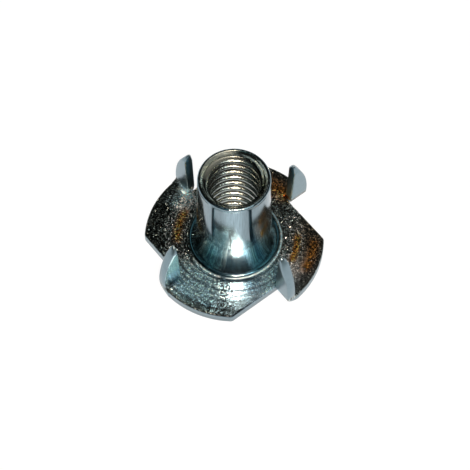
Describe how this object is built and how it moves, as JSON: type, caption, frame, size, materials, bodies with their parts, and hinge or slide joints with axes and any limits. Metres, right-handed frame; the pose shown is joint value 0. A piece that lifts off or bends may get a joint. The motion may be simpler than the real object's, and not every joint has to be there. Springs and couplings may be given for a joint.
{
  "type": "tee nut",
  "caption": "Drive-in tee nut: a threaded barrel drawn up from a pinwheel flange whose slit rim is folded up into prongs that bite into wood and stop it turning.",
  "frame": {"origin": "on the thread's axis, at the flange's flat underside", "axes": "+Z along the thread's axis towards the barrel's mouth, +X towards one corner of the pinwheel flange"},
  "size_m": [0.018, 0.018, 0.012],
  "materials": {
    "zinc_steel": "bright zinc plate over stamped sheet steel, smooth and drawn on the barrel, grainy on the flange"
  },
  "bodies": {
    "root": {"tee_nut": "zinc_steel"}
  },
  "joints": []
}
